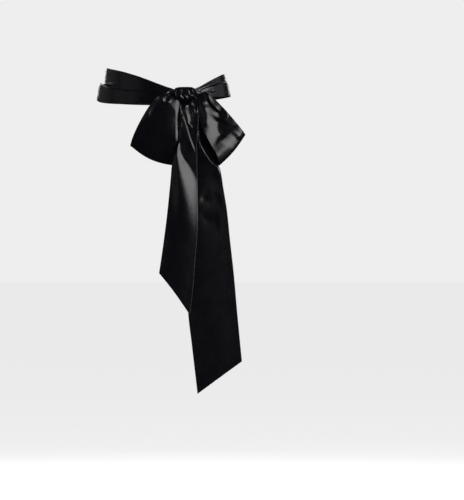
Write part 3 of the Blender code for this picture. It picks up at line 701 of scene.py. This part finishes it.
def satin_group():
    """The look of satin: fine warp threads along the strip, soft crinkles, and a slightly uneven black."""
    tree = bpy.data.node_groups.new("satin_weave", "ShaderNodeTree")
    interface = tree.interface
    interface.new_socket("Flat", in_out="INPUT", socket_type="NodeSocketVector")
    for name, value in [
        ("Thread Pitch", THREAD_PITCH),
        ("Thread Relief", THREAD_RELIEF),
        ("Crinkle Size", CRINKLE_SIZE),
        ("Crinkle Relief", CRINKLE_RELIEF),
        ("Shade", SATIN_SHADE),
        ("Gloss", SATIN_GLOSS),
    ]:
        socket = interface.new_socket(name, in_out="INPUT", socket_type="NodeSocketFloat")
        socket.default_value = value
    interface.new_socket("Color", in_out="OUTPUT", socket_type="NodeSocketColor")
    interface.new_socket("Roughness", in_out="OUTPUT", socket_type="NodeSocketFloat")
    interface.new_socket("Normal", in_out="OUTPUT", socket_type="NodeSocketVector")
    link = tree.links.new
    given = tree.nodes.new("NodeGroupInput")
    result = tree.nodes.new("NodeGroupOutput")

    # Warp threads run along the strip and swell and thin a little on their way.
    split = tree.nodes.new("ShaderNodeSeparateXYZ")
    link(given.outputs["Flat"], split.inputs[0])
    turns = math_node(tree, "DIVIDE", split.outputs["X"], given.outputs["Thread Pitch"])
    ridge = math_node(tree, "SINE", math_node(tree, "MULTIPLY", turns, 2 * math.pi))
    floats = math_node(tree, "DIVIDE", split.outputs["Y"], given.outputs["Thread Pitch"])
    along = math_node(tree, "MULTIPLY", floats, DIP_ALONG)
    across = math_node(tree, "MULTIPLY", turns, DIP_ACROSS)
    skewed = math_node(tree, "ADD", along, across)
    dip = math_node(tree, "SINE", math_node(tree, "MULTIPLY", skewed, 2 * math.pi))
    threads = math_node(tree, "ADD", ridge, math_node(tree, "MULTIPLY", dip, THREAD_DIP))
    threads = math_node(tree, "MULTIPLY", threads, given.outputs["Thread Relief"])

    # Crinkles are a noise over the flat cloth, and bump it together with the threads.
    scale = math_node(tree, "DIVIDE", 1.0, given.outputs["Crinkle Size"])
    crinkle = add_node(tree, "ShaderNodeTexNoise", Detail=2.0, Roughness=0.45)
    link(given.outputs["Flat"], crinkle.inputs["Vector"])
    link(scale, crinkle.inputs["Scale"])
    creased = math_node(tree, "MULTIPLY", crinkle.outputs["Fac"], given.outputs["Crinkle Relief"])
    height = math_node(tree, "ADD", threads, creased)
    bump = add_node(tree, "ShaderNodeBump", Strength=1.0, Distance=1.0)
    link(height, bump.inputs["Height"])
    link(bump.outputs["Normal"], result.inputs["Normal"])

    # The black and the gloss vary slowly over the cloth, and faintly from thread to thread.
    stretched = add_node(tree, "ShaderNodeMapping", Scale=(900.0, 40.0, 1.0))
    link(given.outputs["Flat"], stretched.inputs["Vector"])
    slub = add_node(tree, "ShaderNodeTexNoise", Scale=1.0, Detail=3.0)
    link(stretched.outputs[0], slub.inputs["Vector"])
    mottle = add_node(tree, "ShaderNodeTexNoise", Scale=28.0, Detail=4.0)
    link(given.outputs["Flat"], mottle.inputs["Vector"])
    thickness = math_node(tree, "MULTIPLY", slub.outputs["Fac"], SLUB_SHARE)
    mix = math_node(tree, "ADD", thickness, mottle.outputs["Fac"])
    swing = math_node(tree, "ADD", math_node(tree, "MULTIPLY", mix, SHADE_SWING), SHADE_LEAST)
    value = math_node(tree, "MULTIPLY", swing, given.outputs["Shade"])
    # The green and blue of the black are tinted: a painted bluish cast of the surrounding light.
    colour = tree.nodes.new("ShaderNodeCombineColor")
    link(value, colour.inputs["Red"])
    link(math_node(tree, "MULTIPLY", value, PAINTED_GREEN_CAST), colour.inputs["Green"])
    link(math_node(tree, "MULTIPLY", value, PAINTED_BLUE_CAST), colour.inputs["Blue"])
    link(colour.outputs[0], result.inputs["Color"])
    uneven = math_node(tree, "MULTIPLY", math_node(tree, "SUBTRACT", mix, GLOSS_MIDDLE), GLOSS_SWING)
    link(math_node(tree, "ADD", uneven, given.outputs["Gloss"]), result.inputs["Roughness"])
    return tree


def satin(name, weave, shade=SATIN_SHADE):
    """Black satin for one piece: the shared weave with the piece's own shade."""
    material = bpy.data.materials.new(name)
    material.use_nodes = True
    tree = material.node_tree
    shader = tree.nodes["Principled BSDF"]
    shader.inputs["IOR"].default_value = SATIN_IOR
    flat = tree.nodes.new("ShaderNodeUVMap")
    flat.uv_map = "flat"
    group = tree.nodes.new("ShaderNodeGroup")
    group.node_tree = weave
    group.inputs["Shade"].default_value = shade
    tree.links.new(flat.outputs[0], group.inputs["Flat"])
    tree.links.new(group.outputs["Color"], shader.inputs["Base Color"])
    tree.links.new(group.outputs["Roughness"], shader.inputs["Roughness"])
    tree.links.new(group.outputs["Normal"], shader.inputs["Normal"])
    return material


def dress(piece, node, material):
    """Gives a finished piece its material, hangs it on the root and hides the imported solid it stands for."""
    piece.data.materials.append(material)
    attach(piece, "root")
    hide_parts(node)


def area_light(box):
    """A rectangular softbox, turned towards the point it is aimed at."""
    lamp = bpy.data.lights.new(box.name, "AREA")
    lamp.shape = "RECTANGLE"
    lamp.size, lamp.size_y = box.size
    lamp.energy = box.power
    light = bpy.data.objects.new(box.name, lamp)
    light.location = box.place
    light.visible_camera = False
    way = np.array(box.aim) - np.array(box.place)
    side = math.atan2(way[0], way[1])
    drop = math.atan2(way[2], math.hypot(way[0], way[1]))
    light.rotation_euler = (math.pi / 2 + drop, 0, -side)
    bpy.context.scene.collection.objects.link(light)


def studio():
    """The camera in front of the sash, a pale floor, softboxes and pale surroundings."""
    camera = bpy.data.cameras.new("camera")
    camera.sensor_width = SENSOR_WIDTH
    camera.lens = SENSOR_WIDTH * -CAMERA_PLACE[1] / VIEW_HEIGHT
    camera.clip_end = CAMERA_REACH
    holder = bpy.data.objects.new("camera", camera)
    holder.location = CAMERA_PLACE
    holder.rotation_euler = (math.pi / 2, 0, 0)
    bpy.context.scene.collection.objects.link(holder)
    bpy.context.scene.camera = holder

    half = FLOOR_HALF_SIDE
    floor_mesh = bpy.data.meshes.new("floor")
    corners = [(-half, -half, 0), (half, -half, 0), (half, half, 0), (-half, half, 0)]
    floor_mesh.from_pydata(corners, [], [(0, 1, 2, 3)])
    floor = bpy.data.objects.new("floor", floor_mesh)
    floor.location = (0, 0, FLOOR_HEIGHT)
    bpy.context.scene.collection.objects.link(floor)
    floor.visible_glossy = False
    paper = bpy.data.materials.new("pale_floor")
    paper.use_nodes = True
    shader = paper.node_tree.nodes["Principled BSDF"]
    shader.inputs["Base Color"].default_value = FLOOR_COLOUR
    shader.inputs["Roughness"].default_value = FLOOR_ROUGHNESS
    shader.inputs["Specular IOR Level"].default_value = 0.0
    floor_mesh.materials.append(paper)

    for box in SOFTBOXES:
        area_light(box)

    world = bpy.data.worlds.new("surroundings")
    world.use_nodes = True
    tree = world.node_tree
    shine = tree.nodes["Background"]
    path = tree.nodes.new("ShaderNodeLightPath")
    seen = math_node(tree, "MULTIPLY", path.outputs["Is Camera Ray"], BACKDROP_SEEN)
    lit = math_node(tree, "MULTIPLY", path.outputs["Is Diffuse Ray"], BACKDROP_LIGHT)
    strength = math_node(tree, "ADD", math_node(tree, "ADD", seen, lit), BACKDROP_SHINE)
    tree.links.new(strength, shine.inputs["Strength"])
    shine.inputs["Color"].default_value = (1, 1, 1, 1)
    bpy.context.scene.world = world
    bpy.context.scene.view_settings.view_transform = "Standard"


studio()
weave = satin_group()

band = cloth_object("band_cloth", band_points(stations=420, columns=70))
dress(band, "waist_band", satin("band_satin", weave))
left_points = loop_points(LEFT_LOOP_ROWS, LEFT_LOOP_FOLDS, [], LEFT_FOLD_BOW, stations=90, columns=80)
left_loop = cloth_object("left_loop_cloth", left_points)
dress(left_loop, "loop_left", satin("left_loop_satin", weave))
right_points = loop_points(
    RIGHT_LOOP_ROWS, RIGHT_LOOP_FOLDS, RIGHT_LOOP_BACK_FOLDS, RIGHT_FOLD_BOW, stations=90, columns=80
)
right_loop = cloth_object("right_loop_cloth", right_points)
dress(right_loop, "loop_right", satin("right_loop_satin", weave))
front_points = tail_points(FRONT_TAIL_ROWS, FRONT_TAIL_CUT, FRONT_TAIL_FOLDS, stations=260, columns=84)
front_tail = cloth_object("front_tail_cloth", front_points)
dress(front_tail, "tail_front", satin("front_tail_satin", weave))
back_points = tail_points(BACK_TAIL_ROWS, BACK_TAIL_CUT, BACK_TAIL_FOLDS, stations=260, columns=70)
back_tail = cloth_object("back_tail_cloth", back_points)
dress(back_tail, "tail_back", satin("back_tail_satin", weave))
wrap = cloth_object("knot_cloth", wrap_points(stations=90, columns=84))
dress(wrap, "knot_wrap", satin("knot_satin", weave))
layers = core_object("knot_layers", core_points(stations=41, columns=96))
# The layers inside the knot wear a darker copy of the satin: painted shade for the inside of the knot.
dress(layers, "knot_core", satin("layers_painted_shade_satin", weave, shade=KNOT_INSIDE_PAINTED_SHADE))
